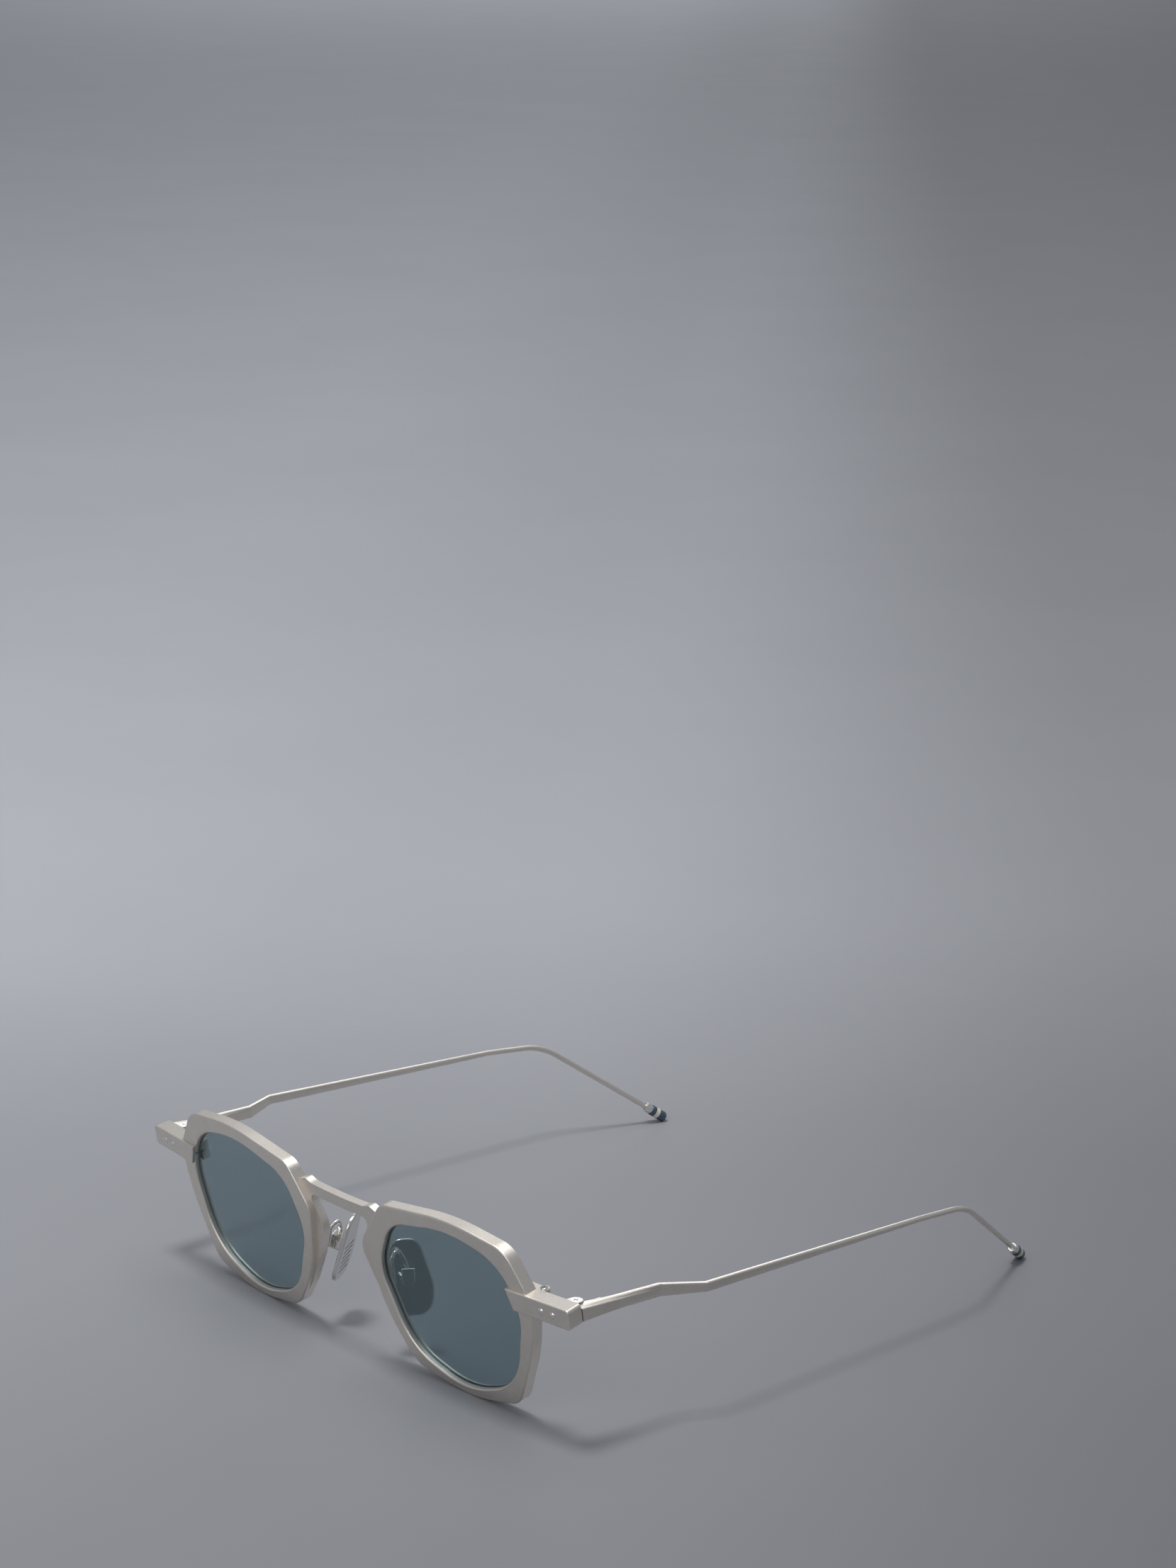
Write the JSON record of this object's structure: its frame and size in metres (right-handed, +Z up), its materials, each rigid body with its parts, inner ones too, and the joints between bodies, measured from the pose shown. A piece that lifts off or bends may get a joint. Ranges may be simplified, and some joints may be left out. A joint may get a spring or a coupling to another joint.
{
  "type": "pair of sunglasses",
  "caption": "Metal-framed sunglasses standing open: angular rims with dark lenses, block hinges, wire temples with banded tips and nose pads on wire arms.",
  "frame": {"origin": "centre of the footprint, on the surface that the sunglasses stand on", "axes": "+X to the wearer's left, +Y back along the temples (the lenses look along -Y), +Z up"},
  "size_m": [0.1496, 0.1486, 0.0402],
  "materials": {
    "frame_metal": "satin, fine bead-blasted",
    "polished_metal": "polished",
    "lens_tint": "polished, grey-blue tint",
    "pad_metal": "smooth satin",
    "tip_light": "gloss, ivory",
    "tip_dark": "gloss, slate"
  },
  "bodies": {
    "front": {"bridge": "frame_metal", "left_rim": "frame_metal", "right_rim": "frame_metal", "left_end_block": "frame_metal", "right_end_block": "frame_metal", "left_closing_block_upper": "frame_metal", "right_closing_block_upper": "frame_metal", "left_closing_block_lower": "frame_metal", "right_closing_block_lower": "frame_metal", "left_hinge_knuckle_top": "frame_metal", "right_hinge_knuckle_top": "frame_metal", "left_hinge_knuckle_bottom": "frame_metal", "right_hinge_knuckle_bottom": "frame_metal", "left_lens": "lens_tint", "right_lens": "lens_tint", "left_end_block_rivets": "polished_metal", "right_end_block_rivets": "polished_metal", "left_closing_screw": "polished_metal", "right_closing_screw": "polished_metal", "left_hinge_screw": "polished_metal", "right_hinge_screw": "polished_metal", "left_pad_arm": "polished_metal", "right_pad_arm": "polished_metal", "left_pad_box": "polished_metal", "right_pad_box": "polished_metal", "left_pad_screw": "polished_metal", "right_pad_screw": "polished_metal"},
    "left_temple": {"left_temple": "frame_metal", "left_temple_knuckle": "frame_metal", "left_tip_collar": "polished_metal", "left_tip_sleeve": "tip_light", "left_tip_rings": "tip_dark", "left_tip_cap": "tip_dark"},
    "right_temple": {"right_temple": "frame_metal", "right_temple_knuckle": "frame_metal", "right_tip_collar": "polished_metal", "right_tip_sleeve": "tip_light", "right_tip_rings": "tip_dark", "right_tip_cap": "tip_dark"},
    "left_pad": {"left_nose_pad": "pad_metal"},
    "right_pad": {"right_nose_pad": "pad_metal"}
  },
  "joints": [
    {"name": "left_temple_fold", "type": "hinge", "parent": "front", "child": "left_temple", "pos_m": [0.0672, -0.06478, 0.02803], "axis": [0, 0, 1], "range_deg": [0, 88]},
    {"name": "right_temple_fold", "type": "hinge", "parent": "front", "child": "right_temple", "pos_m": [-0.0672, -0.06478, 0.02803], "axis": [0, 0, -1], "range_deg": [0, 84]},
    {"name": "left_pad_rock", "type": "hinge", "parent": "front", "child": "left_pad", "pos_m": [0.01263, -0.06355, 0.01807], "axis": [0.5446, 0.8387, 0], "range_deg": [-5, 5]},
    {"name": "right_pad_rock", "type": "hinge", "parent": "front", "child": "right_pad", "pos_m": [-0.01263, -0.06355, 0.01807], "axis": [0.5446, -0.8387, 0], "range_deg": [-5, 5]}
  ]
}
